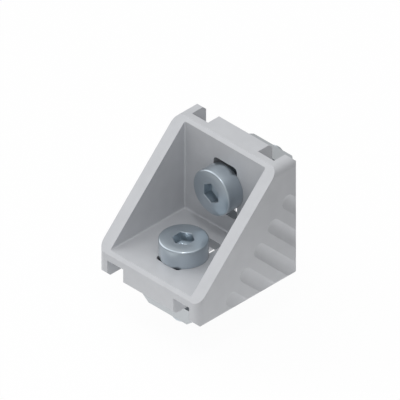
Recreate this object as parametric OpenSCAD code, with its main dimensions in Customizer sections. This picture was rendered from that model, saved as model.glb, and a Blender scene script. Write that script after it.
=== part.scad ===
// Gusseted corner bracket for slotted profile, with its two screws and two hammer-head nuts.
//
// The width is X. The base leg runs out to -Y and the back leg up +Z, and the origin is at
// mid-width of the right-angle corner where their two contact planes meet. Both legs are the
// same: u is the distance out along a leg and v the height over its contact plane.

/* [Bracket] */
// Length of each leg from the corner
leg = 28; // [27:0.5:30]
// Width over the two side walls
width = 28.5; // [28:0.5:30]
// Thickness of each side wall
wall_t = 2.85; // [2.6:0.05:3]
// Thickness of each side wall beside the grooves
foot_t = 2.7; // [2.5:0.05:2.9]
// Height of a flange's inner face over its contact plane
flange_top = 6.3; // [6:0.1:6.6]
// Thickness of the flange plate
flange_t = 2.2; // [2:0.1:2.6]
// Height at which the sloping rim meets the end face
rim_height = 5.6; // [5.2:0.1:5.9]

/* [Edges] */
// Chamfer where an end face meets the contact plane
end_chamfer = 1; // [0.6:0.1:1.4]
// Radius of the wall edges round the end faces
end_r = 1.8; // [1.5:0.1:2.4]
// Radius of the outer wall edges along the contact planes
contact_r = 1.05; // [0.8:0.05:1.3]
// Radius of the heel, at the right-angle corner
heel_r = 1.05; // [0.8:0.05:1.3]
// Radius of the corners inside the pocket
pocket_r = 0.4; // [0.3:0.1:0.8]
// Radius of the edges beside the grooves
groove_edge_r = 0.2; // [0.1:0.1:0.5]

/* [Pads and slots] */
// Width of the pad under each flange
pad_w = 14.1; // [13:0.1:15]
// Width of the slotted hole, and of the channel that runs from it to the heel
slot_w = 6.6; // [6.4:0.1:7]
// Distance from the corner to the near end of the slotted hole
slot_near = 10.3; // [9.8:0.1:10.8]
// Distance from the corner to the far end of the slotted hole
slot_far = 22.9; // [22.4:0.1:23.4]
// Radius of the slotted hole's corners
slot_corner_r = 1; // [0.6:0.1:1.5]

/* [Flutes] */
// Number of flutes in each side wall
flute_count = 5; // [3:2:5]
// Distance from each flute to the next, along either leg
flute_pitch = 3.96; // [3.6:0.02:4.2]
// Distance of the middle flute's nose from both contact planes
flute_nose = 10.84; // [10:0.02:11.6]
// Width of a flute at the wall's surface
flute_w = 3.2; // [2.6:0.1:3.4]
// Depth of a flute
flute_depth = 0.4; // [0.2:0.05:0.6]

/* [Screws] */
// Distance from the corner to the base leg's screw
base_screw_u = 18; // [14:0.05:19.4]
// Distance from the corner to the back leg's screw
back_screw_u = 17.35; // [16:0.05:19.4]
// Diameter of the screw's head
head_d = 10.2; // [9.5:0.1:10.4]
// Height of the screw's head
head_h = 4; // [3.6:0.1:4.2]
// Radius of the head's upper edge
head_edge_r = 0.45; // [0.2:0.05:0.7]
// Width across flats of the hexagon socket
socket_af = 4; // [4:1:5]
// Depth of the hexagon socket's flats
socket_depth = 2.1; // [1.8:0.1:2.3]
// Diameter of the plain shank that stands for the thread
shank_d = 5.9; // [5.8:0.05:5.95]
// Length of the screw under its head
shank_len = 14.9; // [14:0.1:16]
// Radius of the screw's end face
tip_r = 2.15; // [2:0.05:2.4]
// Length of the taper at the screw's end
tip_len = 1.3; // [0.6:0.1:1.6]

/* [Nuts] */
// Length of the hammer head, across the slot when locked
nut_len = 16; // [15:0.1:16.5]
// Width of the hammer head and of its square neck
nut_w = 7.7; // [7.5:0.05:7.9]
// Length of the hammer head's bottom face, square across it between the bevels
nut_bottom_len = 10.6; // [10:0.1:12]
// Slope of the bevels at the ends of the bottom face
bevel_angle = 39; // [35:1:45]
// Angle between the bevels and the head's ends, towards the round corners
bevel_skew = 10; // [0:1:12]
// Height of the hammer head
nut_head_h = 3.5; // [3.2:0.1:3.8]
// Depth of the hammer head's upper face below the contact plane
nut_head_drop = 3; // [2.8:0.1:3.4]
// Gap between the top of the neck and the contact plane
neck_gap = 0.3; // [0.1:0.1:0.6]
// Radius of the two opposite corners that let the nut turn
turn_corner_r = 3.2; // [3:0.1:3.8]
// Diameter of the nut's threaded hole
nut_bore_d = 6; // [6:0.05:6.1]

/* [Hidden] */
$fn = 72;

// How far a cutting solid runs past the surface that it opens
slack = 2;
half_w = width / 2;
inner_half_w = half_w - wall_t;
groove_half_w = half_w - foot_t;
plate_bottom = flange_top - flange_t;

// Ball-nosed cutter whose cut is as wide and deep as a flute
cutter_r = (pow(flute_w / 2, 2) + pow(flute_depth, 2)) / (2 * flute_depth);

// Socket's drill point
point_r = socket_af / 2 - 0.15;
point_h = 0.75;

cast_colour = [0.76, 0.77, 0.78];
steel_colour = [0.55, 0.61, 0.65];

// Waste outside a rounded corner that has its tip at the origin and its body towards +x +y
module corner_cut(r) {
  difference() {
    translate([-slack, -slack])
      square(r + slack);
    translate([r, r])
      circle(r);
  }
}

module on_both_sides() {
  children();
  mirror([1, 0, 0])
    children();
}

// Repeats what is drawn on the base leg on the back leg
module on_both_legs() {
  children();
  mirror([0, 1, 1])
    children();
}

// Extrudes an outline drawn in u and v across the width
module across(length) {
  rotate([90, 0, -90])
    linear_extrude(length, center = true)
      children();
}

// Extrudes an outline drawn in x and v along the base leg
module along_base(from, to) {
  translate([0, -from, 0])
    rotate([90, 0, 0])
      linear_extrude(to - from)
        children();
}

// Side view of the whole bracket: two end faces, the sloping rim and the heel
module side_outline() {
  difference() {
    polygon([
      [0, 0],
      [leg - end_chamfer, 0],
      [leg, end_chamfer],
      [leg, rim_height],
      [rim_height, leg],
      [end_chamfer, leg],
      [0, leg - end_chamfer],
    ]);
    corner_cut(heel_r);
  }
}

// End view of a leg, with small radii at its contact plane and large ones at the far end
module end_outline() {
  difference() {
    translate([-half_w, 0])
      square([width, leg]);
    on_both_sides() {
      translate([-half_w, 0])
        corner_cut(contact_r);
      translate([-half_w, leg])
        mirror([0, 1])
          corner_cut(end_r);
    }
  }
}

module outer_form() {
  intersection() {
    across(width + slack)
      side_outline();
    along_base(-slack, leg + slack)
      end_outline();
    mirror([0, 1, 1])
      along_base(-slack, leg + slack)
        end_outline();
  }
}

// Pocket between the walls, seen along a leg
module pocket_outline() {
  difference() {
    translate([-inner_half_w, flange_top])
      square([2 * inner_half_w, leg]);
    on_both_sides()
      translate([-inner_half_w, flange_top])
        corner_cut(pocket_r);
  }
}

module pocket() {
  intersection() {
    across(width)
      difference() {
        translate([flange_top, flange_top])
          square(leg);
        translate([flange_top, flange_top])
          corner_cut(pocket_r);
      }
    along_base(0, leg + slack)
      pocket_outline();
    mirror([0, 1, 1])
      along_base(0, leg + slack)
        pocket_outline();
  }
}

// Section of the groove between the pad and a wall, with rounded edges at its mouth
module groove_outline() {
  translate([pad_w / 2, -slack])
    square([groove_half_w - pad_w / 2, slack + plate_bottom]);
  translate([groove_half_w, 0])
    corner_cut(groove_edge_r);
  translate([pad_w / 2, 0])
    mirror([1, 0])
      corner_cut(groove_edge_r);
}

module slot_outline(near) {
  difference() {
    translate([-slot_w / 2, near])
      square([slot_w, slot_far - near]);
    on_both_sides() {
      translate([-slot_w / 2, near])
        corner_cut(slot_corner_r);
      translate([-slot_w / 2, slot_far])
        mirror([0, 1])
          corner_cut(slot_corner_r);
    }
  }
}

// Slotted hole through the flange, over the channel between the pad's two rails
module slot() {
  mirror([0, 1, 0]) {
    translate([0, 0, -slack])
      linear_extrude(flange_top + 2 * slack)
        slot_outline(slot_near);
    translate([0, 0, -slack])
      linear_extrude(plate_bottom + slack)
        slot_outline(-2 * slack);
  }
}

module flute_cutter() {
  rotate_extrude()
    intersection() {
      union() {
        circle(cutter_r);
        translate([0, -leg])
          square([cutter_r, leg]);
      }
      translate([0, -leg])
        square([cutter_r, leg + cutter_r]);
    }
}

// Round-nosed flutes that run down to the heel at right angles to the rim
module flutes() {
  middle = (flute_count - 1) / 2;
  for (step = [-middle:middle])
    translate([
      half_w + cutter_r - flute_depth,
      -flute_nose - step * flute_pitch,
      flute_nose - step * flute_pitch,
    ])
      rotate([45, 0, 0])
        flute_cutter();
}

module bracket() {
  color(cast_colour)
    difference() {
      outer_form();
      pocket();
      on_both_legs() {
        on_both_sides()
          along_base(-slack, leg + slack)
            groove_outline();
        slot();
      }
      on_both_sides()
        flutes();
    }
}

// Screw and nut are drawn round +Z, with the flange's inner face at z = 0
module screw() {
  color(steel_colour)
    difference() {
      rotate_extrude()
        difference() {
          union() {
            square([head_d / 2, head_h]);
            translate([0, -shank_len])
              square([shank_d / 2, shank_len]);
          }
          translate([head_d / 2, head_h])
            rotate(180)
              corner_cut(head_edge_r);
          translate([0, -shank_len])
            polygon([[tip_r, 0], [shank_d / 2, tip_len], [head_d, tip_len], [head_d, -slack], [tip_r, -slack]]);
        }
      translate([0, 0, head_h - socket_depth])
        rotate(90)
          cylinder(r = socket_af / 2 / cos(30), h = socket_depth + slack, $fn = 6);
      translate([0, 0, head_h - socket_depth - point_h])
        cylinder(r1 = 0, r2 = point_r, h = point_h);
    }
}

// Plan of the nut: two opposite corners are round, so it turns clockwise to its stop
module nut_outline(length) {
  difference() {
    square([length, nut_w], center = true);
    translate([-length / 2, nut_w / 2])
      mirror([0, 1])
        corner_cut(turn_corner_r);
    translate([length / 2, -nut_w / 2])
      mirror([1, 0])
        corner_cut(turn_corner_r);
  }
}

module nut() {
  head_top = -flange_top - nut_head_drop;
  head_bottom = head_top - nut_head_h;
  bevel_rise = (nut_len - nut_bottom_len / 2) * tan(bevel_angle);
  color(steel_colour)
    difference() {
      union() {
        intersection() {
          translate([0, 0, head_bottom])
            linear_extrude(nut_head_h)
              nut_outline(nut_len);
          rotate([90, 0, -bevel_skew])
            linear_extrude(nut_len, center = true)
              polygon([
                [-nut_bottom_len / 2, head_bottom],
                [nut_bottom_len / 2, head_bottom],
                [nut_len, head_bottom + bevel_rise],
                [-nut_len, head_bottom + bevel_rise],
              ]);
        }
        translate([0, 0, head_bottom])
          linear_extrude(nut_head_h + nut_head_drop - neck_gap)
            nut_outline(nut_w);
      }
      translate([0, 0, head_bottom - slack])
        cylinder(d = nut_bore_d, h = nut_head_h + nut_head_drop + 2 * slack);
    }
}

// Carries a screw or nut to its slotted hole
module on_base() {
  translate([0, -base_screw_u, flange_top])
    children();
}

module on_back() {
  translate([0, -flange_top, back_screw_u])
    rotate([90, 0, 0])
      children();
}

module base_screw() {
  on_base()
    screw();
}

module back_screw() {
  on_back()
    screw();
}

module base_nut() {
  on_base()
    nut();
}

module back_nut() {
  on_back()
    nut();
}

bracket();
base_screw();
back_screw();
base_nut();
back_nut();
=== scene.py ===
import math

import bmesh
import bpy
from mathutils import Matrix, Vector


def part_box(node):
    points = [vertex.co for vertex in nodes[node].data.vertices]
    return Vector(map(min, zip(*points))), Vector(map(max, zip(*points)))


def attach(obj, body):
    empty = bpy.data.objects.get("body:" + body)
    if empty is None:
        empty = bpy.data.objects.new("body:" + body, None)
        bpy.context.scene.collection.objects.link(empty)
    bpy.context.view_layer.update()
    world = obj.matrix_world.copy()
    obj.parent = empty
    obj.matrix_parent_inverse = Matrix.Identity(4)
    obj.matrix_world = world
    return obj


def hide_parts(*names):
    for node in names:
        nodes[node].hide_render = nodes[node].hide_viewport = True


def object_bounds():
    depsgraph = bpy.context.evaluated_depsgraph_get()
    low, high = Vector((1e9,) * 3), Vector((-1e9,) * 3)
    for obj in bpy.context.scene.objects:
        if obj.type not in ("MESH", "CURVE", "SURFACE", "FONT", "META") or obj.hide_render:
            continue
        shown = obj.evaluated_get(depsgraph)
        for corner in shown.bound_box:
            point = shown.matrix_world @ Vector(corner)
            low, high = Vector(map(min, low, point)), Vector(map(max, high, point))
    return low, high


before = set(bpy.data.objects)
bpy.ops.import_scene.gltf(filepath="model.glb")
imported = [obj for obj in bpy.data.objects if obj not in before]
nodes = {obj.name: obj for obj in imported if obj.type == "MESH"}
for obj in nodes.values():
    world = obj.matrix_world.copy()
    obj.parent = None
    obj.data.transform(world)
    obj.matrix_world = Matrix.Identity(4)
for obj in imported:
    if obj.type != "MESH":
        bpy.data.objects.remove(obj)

MM = 0.001
CAD_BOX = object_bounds()

# Picture: an isometric parallel view down on the open corner, from the right and in front
PHOTO_PX = 400
PX_PER_MM = 5.02
TOWARDS_CAMERA = Vector((1, -1, 1)).normalized()
PICTURE_CENTRE = Vector((0, -13.4, 17.3)) * MM
CAMERA_DISTANCE = 300 * MM

# Broken edges of the casting and of the nuts
CAST_EDGE = 0.1 * MM
NUT_EDGE = 0.15 * MM
EDGE_STEPS = 3
EDGE_ANGLE = math.radians(24)
WELD_DISTANCE = 0.0001 * MM
FLAT_ANGLE = math.radians(0.4)

# Screw: sizes in mm, drawn round +Z with its seat at z = 0
HEAD_HEIGHT = 4.0
HEAD_EDGE = 0.36
SEAT_EDGE = 0.12
ARC_STEPS = 6
SOCKET_FLATS = 4.0
SOCKET_MOUTH = 0.09
SOCKET_DEPTH = 2.1
DRILL_RADIUS = 1.85
DRILL_POINT = 0.75
HEAD_FILLET = 0.2
SHANK_LENGTH = 14.9
TIP_RADIUS = 2.15
TIP_LENGTH = 1.3
TURN_POINTS = 96
FACE_RING = 0.62        # share of the head's radius
SMOOTH_ANGLE = math.radians(28)

# M6 thread, coarse: sizes in mm
PITCH = 1.0
THREAD_POINTS = 48
CREST = 2.95
ROOT = 2.39
CREST_HALF = 0.065
ROOT_HALF = 0.39
ROOT_SUNK = 0.04
RUN_OUT = 0.5           # turns
RUN_OUT_LEAST = 0.02    # share of the ridge's height
END_GAP = 0.4
TAPER = (CREST - TIP_RADIUS) / TIP_LENGTH
BORE = 2.99
BORE_CREST = 2.46
NUT_TOP = -6.6
NUT_BOTTOM = -12.8

# Finishes: linear colours, and the sizes of the marks in mm
CAST_DARK = (0.545, 0.557, 0.58, 1)
CAST_PALE = (0.575, 0.587, 0.61, 1)
CAST_METALLIC = 0.3
CAST_ROUGHNESS = (0.42, 0.5)
CAST_BLOTCH = 3.0
BLOTCH_DETAIL = 3.0
CAST_GRAIN = 0.12
GRAIN_DETAIL = 2.0
GRAIN_STRENGTH = 0.12
GRAIN_HEIGHT = 0.02 * MM
SCREW_COLOUR = (0.42, 0.48, 0.53)
SCREW_ROUGHNESS = 0.31
NUT_COLOUR = (0.46, 0.485, 0.505)
NUT_ROUGHNESS = 0.36
ZINC_METALLIC = 0.92
ZINC_BLOTCH = 1.6
ZINC_PALER = 1.03
ZINC_UNEVEN = 0.01
COAT_WEIGHT = 1.0
COAT_ROUGHNESS = 0.08
NOISE_RANGE = (0.3, 0.7)
WHITE = (1, 1, 1, 1)

# Light: soft lobes of a plain studio sky (direction, narrowness, strength) and one soft lamp
SKY_BASE = 0.29
SKY = (
    ((-0.75, -0.13, 0.65), 5, 1.7),
    ((0.27, 0, 0.96), 5, 0.95),
    ((0.42, -0.89, 0.19), 5, 0.58),
    ((-0.26, -0.08, -0.96), 5, 2.7),
    ((0.23, 0.4, -0.88), 5, 0.29),
    ((-0.56, 0.39, -0.73), 5, 0.92),
)
KEY_TOWARDS = Vector((0.28, -0.26, 0.92)).normalized()
KEY_DISTANCE = 400 * MM
KEY_SIZE = 45 * MM
KEY_POWER = 0.19
SHEET_HALF_WIDTH = 44 * MM
SHEET_HALF_DEPTH = 74 * MM
FLOOR_GLOW = 0.95
FLOOR_ALBEDO = 0.9


def points_of(radius, height):
    """A level ring of points. The radius is a number, or a function of the angle."""
    ring = []
    for i in range(TURN_POINTS):
        angle = math.tau * i / TURN_POINTS
        r = radius(angle) if callable(radius) else radius
        ring.append(Vector((r * math.cos(angle), r * math.sin(angle), height)) * MM)
    return ring


def hexagon(flats):
    """Radius of a hexagon, by angle, with two of its corners on the Y axis."""
    def radius(angle):
        from_flat = ((angle + math.pi / 6) % (math.pi / 3)) - math.pi / 6
        return flats / 2 / math.cos(from_flat)
    return radius


def arc(centre_r, centre_z, radius, start, end):
    """Points (r, z) on an arc of a section, from one angle to the other."""
    steps = []
    for i in range(ARC_STEPS + 1):
        angle = math.radians(start + (end - start) * i / ARC_STEPS)
        steps.append((centre_r + radius * math.cos(angle), centre_z + radius * math.sin(angle)))
    return steps


def skin(bm, rings, first_pole, last_pole):
    """Joins rings of equal length into a closed surface that ends in two poles."""
    rows = [[bm.verts.new(p) for p in ring] for ring in rings]
    count = len(rows[0])
    for low, high in zip(rows, rows[1:]):
        for i in range(count):
            j = (i + 1) % count
            bm.faces.new((low[i], low[j], high[j], high[i]))
    for row, pole in ((rows[0], first_pole), (rows[-1], last_pole)):
        tip = bm.verts.new(pole)
        for i in range(count):
            bm.faces.new((tip, row[i], row[(i + 1) % count]))


def helix(bm, base, crest, start, end, limit=None):
    """A thread's ridge from height start to height end. The radii run from base to crest."""
    steps = int(THREAD_POINTS * (end - start) / PITCH)
    outline = ((base, -ROOT_HALF), (crest, -CREST_HALF), (crest, CREST_HALF), (base, ROOT_HALF))
    sections = []
    for k in range(steps + 1):
        turn = k / THREAD_POINTS
        height = start + turn * PITCH
        angle = math.tau * turn
        run_out = min(1, turn / RUN_OUT, (steps - k) / THREAD_POINTS / RUN_OUT)
        section = []
        for radius, offset in outline:
            z = height + offset
            r = base + (radius - base) * max(run_out, RUN_OUT_LEAST)
            if limit:
                r = min(r, limit(z))
            section.append(bm.verts.new(Vector((r * math.cos(angle), r * math.sin(angle), z)) * MM))
        sections.append(section)
    for a, b in zip(sections, sections[1:]):
        for i in range(4):
            j = (i + 1) % 4
            bm.faces.new((a[i], a[j], b[j], b[i]))
    bm.faces.new(sections[0])
    bm.faces.new(sections[-1])


def to_mesh(bm, name):
    """Finished mesh with smooth shading between its sharp edges."""
    bmesh.ops.recalc_face_normals(bm, faces=bm.faces)
    mesh = bpy.data.meshes.new(name)
    bm.to_mesh(mesh)
    bm.free()
    mesh.shade_smooth()
    mesh.set_sharp_from_angle(angle=SMOOTH_ANGLE)
    return mesh


def screw_mesh(head_radius):
    """Low-head socket screw with its real thread."""
    bm = bmesh.new()
    socket_floor = HEAD_HEIGHT - SOCKET_DEPTH
    rings = [
        points_of(DRILL_RADIUS / 2, socket_floor - DRILL_POINT / 2),
        points_of(DRILL_RADIUS, socket_floor),
        points_of(hexagon(SOCKET_FLATS), socket_floor),
        points_of(hexagon(SOCKET_FLATS), HEAD_HEIGHT - SOCKET_MOUTH),
        points_of(hexagon(SOCKET_FLATS + 2 * SOCKET_MOUTH), HEAD_HEIGHT),
        points_of(head_radius * FACE_RING, HEAD_HEIGHT),
    ]
    section = arc(head_radius - HEAD_EDGE, HEAD_HEIGHT - HEAD_EDGE, HEAD_EDGE, 90, 0)
    section += [(head_radius, HEAD_HEIGHT / 2)]
    section += arc(head_radius - SEAT_EDGE, SEAT_EDGE, SEAT_EDGE, 0, -90)
    section += [
        (ROOT + HEAD_FILLET, 0),
        (ROOT, -HEAD_FILLET),
        (ROOT, -SHANK_LENGTH / 2),
        (ROOT, -SHANK_LENGTH + (ROOT - TIP_RADIUS) / TAPER),
        (TIP_RADIUS, -SHANK_LENGTH),
    ]
    rings += [points_of(r, z) for r, z in section]
    drill_tip = Vector((0, 0, socket_floor - DRILL_POINT)) * MM
    shank_end = Vector((0, 0, -SHANK_LENGTH)) * MM
    skin(bm, rings, drill_tip, shank_end)
    helix(bm, ROOT - ROOT_SUNK, CREST, -SHANK_LENGTH + END_GAP, -END_GAP,
          lambda z: TIP_RADIUS + (z + SHANK_LENGTH) * TAPER)
    return to_mesh(bm, "screw")


def nut_thread_mesh():
    """Thread inside a nut's bore, on the screw's axis and seat."""
    bm = bmesh.new()
    helix(bm, BORE, BORE_CREST, NUT_BOTTOM + END_GAP, NUT_TOP - END_GAP)
    return to_mesh(bm, "nut_thread")


def soft_edges(obj, width):
    """Rounds a CAD node's edges. Its triangles are merged first, so that each edge is one edge."""
    weld = obj.modifiers.new("weld", "WELD")
    weld.merge_threshold = WELD_DISTANCE
    merge = obj.modifiers.new("flat faces", "DECIMATE")
    merge.decimate_type = "DISSOLVE"
    merge.angle_limit = FLAT_ANGLE
    bevel = obj.modifiers.new("edges", "BEVEL")
    bevel.width = width
    bevel.segments = EDGE_STEPS
    bevel.limit_method = "ANGLE"
    bevel.angle_limit = EDGE_ANGLE
    obj.modifiers.new("normals", "WEIGHTED_NORMAL")


class Nodes:
    """Short calls for building a node tree."""

    def __init__(self, tree):
        self.tree = tree

    def connect(self, value, socket):
        """Links a socket to another one, or sets it to a plain value."""
        if isinstance(value, bpy.types.NodeSocket):
            self.tree.links.new(value, socket)
        else:
            socket.default_value = value

    def add(self, kind, inputs=None, **settings):
        """Adds a node. Its inputs are given by name or number."""
        made = self.tree.nodes.new(kind)
        for name, value in settings.items():
            setattr(made, name, value)
        for name, value in (inputs or {}).items():
            self.connect(value, made.inputs[name])
        return made

    def calc(self, operation, a, b):
        """Arithmetic on two values."""
        return self.add("ShaderNodeMath", {0: a, 1: b}, operation=operation).outputs[0]

    def noise(self, coords, size, detail):
        """Noise whose marks are about this size, in mm."""
        inputs = {"Vector": coords, "Scale": 1 / (size * MM), "Detail": detail}
        return self.add("ShaderNodeTexNoise", inputs).outputs["Fac"]

    def spread(self, value, low, high):
        """Maps a noise value onto a range."""
        start, end = NOISE_RANGE
        return self.add("ShaderNodeMapRange", {0: value, 1: start, 2: end, 3: low, 4: high}).outputs[0]

    def mix(self, factor, a, b):
        """Mixes two colours."""
        return self.add("ShaderNodeMix", {0: factor, 6: a, 7: b}, data_type="RGBA").outputs[2]


def new_material(name):
    """A material with the helper for its tree and its main shader."""
    made = bpy.data.materials.new(name)
    made.use_nodes = True
    return made, Nodes(made.node_tree), made.node_tree.nodes["Principled BSDF"]


def cast_material():
    """Tumbled die casting: satin grey, with a fine grain and soft blotches."""
    made, tree, shader = new_material("cast_aluminium")
    coords = tree.add("ShaderNodeTexCoord").outputs["Object"]
    blotch = tree.noise(coords, CAST_BLOTCH, BLOTCH_DETAIL)
    grain = tree.noise(coords, CAST_GRAIN, GRAIN_DETAIL)
    tree.connect(tree.mix(tree.spread(blotch, 0.0, 1.0), CAST_DARK, CAST_PALE), shader.inputs["Base Color"])
    shader.inputs["Metallic"].default_value = CAST_METALLIC
    tree.connect(tree.spread(grain, *CAST_ROUGHNESS), shader.inputs["Roughness"])
    relief = {"Strength": GRAIN_STRENGTH, "Distance": GRAIN_HEIGHT, "Height": grain}
    tree.connect(tree.add("ShaderNodeBump", relief).outputs[0], shader.inputs["Normal"])
    return made


def zinc_material(name, colour, roughness):
    """Smooth zinc plating under its clear passivation."""
    made, tree, shader = new_material(name)
    coords = tree.add("ShaderNodeTexCoord").outputs["Object"]
    blotch = tree.noise(coords, ZINC_BLOTCH, BLOTCH_DETAIL)
    pale = tuple(c * ZINC_PALER for c in colour)
    tone = tree.mix(tree.spread(blotch, 0.0, 1.0), (*colour, 1), (*pale, 1))
    tree.connect(tone, shader.inputs["Base Color"])
    shader.inputs["Metallic"].default_value = ZINC_METALLIC
    shader.inputs["Coat Weight"].default_value = COAT_WEIGHT
    shader.inputs["Coat Roughness"].default_value = COAT_ROUGHNESS
    uneven = tree.spread(blotch, roughness - ZINC_UNEVEN, roughness + ZINC_UNEVEN)
    tree.connect(uneven, shader.inputs["Roughness"])
    return made


def floor_material():
    """White, with a trace of the object's shadow from above and clear from below."""
    made, tree, shader = new_material("floor")
    made.node_tree.nodes.remove(shader)
    albedo = (FLOOR_ALBEDO, FLOOR_ALBEDO, FLOOR_ALBEDO, 1)
    glow = tree.add("ShaderNodeEmission", {"Color": WHITE, "Strength": 1.0}).outputs[0]
    matt = tree.add("ShaderNodeBsdfDiffuse", {"Color": albedo}).outputs[0]
    both = tree.add("ShaderNodeMixShader", {0: FLOOR_GLOW, 1: matt, 2: glow}).outputs[0]
    from_below = tree.add("ShaderNodeNewGeometry").outputs["Backfacing"]
    clear = tree.add("ShaderNodeBsdfTransparent").outputs[0]
    one_sided = tree.add("ShaderNodeMixShader", {0: from_below, 1: both, 2: clear}).outputs[0]
    tree.connect(one_sided, made.node_tree.nodes["Material Output"].inputs["Surface"])
    return made


def dress(obj, material):
    """Gives an object this material alone."""
    obj.data.materials.clear()
    obj.data.materials.append(material)


def place(name, mesh, material, body, like):
    """Stands a screw's piece on its CAD node's axis and seat."""
    obj = bpy.data.objects.new(name, mesh)
    bpy.context.scene.collection.objects.link(obj)
    low, high = (Vector(corner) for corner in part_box(like))
    middle = (low + high) / 2
    if like == "base_screw":
        obj.location = (middle.x, middle.y, high.z - HEAD_HEIGHT * MM)
    else:
        obj.location = (middle.x, low.y + HEAD_HEIGHT * MM, middle.z)
        obj.rotation_euler = (math.radians(90), 0, 0)
    dress(obj, material)
    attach(obj, body)
    return obj


def aim(obj, towards, distance):
    """Stands a camera or a lamp off the picture's centre, looking at it."""
    obj.location = PICTURE_CENTRE + towards * distance
    obj.rotation_euler = (-towards).to_track_quat("-Z", "Y").to_euler()
    bpy.context.scene.collection.objects.link(obj)


# Casting, nuts and screws
cast = cast_material()
screw_zinc = zinc_material("zinc_screw", SCREW_COLOUR, SCREW_ROUGHNESS)
nut_zinc = zinc_material("zinc_nut", NUT_COLOUR, NUT_ROUGHNESS)

dress(nodes["bracket"], cast)
soft_edges(nodes["bracket"], CAST_EDGE)

low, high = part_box("base_screw")
screw = screw_mesh((high[0] - low[0]) / 2 / MM)
thread = nut_thread_mesh()
for leg in ("base", "back"):
    nut = nodes[leg + "_nut"]
    dress(nut, nut_zinc)
    soft_edges(nut, NUT_EDGE)
    piece = place(leg + "_socket_screw", screw, screw_zinc, leg + "_fastener", leg + "_screw")
    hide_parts(leg + "_screw")
    lining = place(leg + "_nut_thread", thread, nut_zinc, leg + "_fastener", leg + "_screw")

# Camera
camera_data = bpy.data.cameras.new("camera")
camera_data.type = "ORTHO"
camera_data.ortho_scale = PHOTO_PX / PX_PER_MM * MM
camera = bpy.data.objects.new("camera", camera_data)
aim(camera, TOWARDS_CAMERA, CAMERA_DISTANCE)
bpy.context.scene.camera = camera

# Floor: a white sheet that fills the picture, at the object's lowest point
floor_z = CAD_BOX[0][2]
sheet_centre = PICTURE_CENTRE - TOWARDS_CAMERA * (PICTURE_CENTRE.z - floor_z) / TOWARDS_CAMERA.z
sideways = Vector((1, 1, 0)).normalized() * SHEET_HALF_WIDTH
away = Vector((-1, 1, 0)).normalized() * SHEET_HALF_DEPTH
corners = [sheet_centre + a * sideways + b * away for a, b in ((-1, -1), (1, -1), (1, 1), (-1, 1))]
floor_mesh = bpy.data.meshes.new("floor")
floor_mesh.from_pydata(corners, [], [(0, 1, 2, 3)])
floor = bpy.data.objects.new("floor", floor_mesh)
bpy.context.scene.collection.objects.link(floor)
floor.visible_diffuse = False
floor.visible_shadow = False
dress(floor, floor_material())

# Sky and lamp
world = bpy.data.worlds.new("studio")
world.use_nodes = True
bpy.context.scene.world = world
sky = Nodes(world.node_tree)
direction = sky.add("ShaderNodeTexCoord").outputs["Generated"]
total = SKY_BASE
for axis, narrowness, strength in SKY:
    cosine = {0: direction, 1: tuple(Vector(axis).normalized())}
    along = sky.add("ShaderNodeVectorMath", cosine, operation="DOT_PRODUCT").outputs["Value"]
    lobe = sky.calc("POWER", sky.calc("MAXIMUM", along, 0.0), narrowness)
    total = sky.calc("ADD", sky.calc("MULTIPLY", lobe, strength), total)
background = world.node_tree.nodes["Background"]
background.inputs["Color"].default_value = WHITE
sky.connect(total, background.inputs["Strength"])

key_data = bpy.data.lights.new("key", "AREA")
key_data.energy = KEY_POWER
key_data.size = KEY_SIZE
aim(bpy.data.objects.new("key", key_data), KEY_TOWARDS, KEY_DISTANCE)
bpy.context.scene.view_settings.view_transform = "Standard"
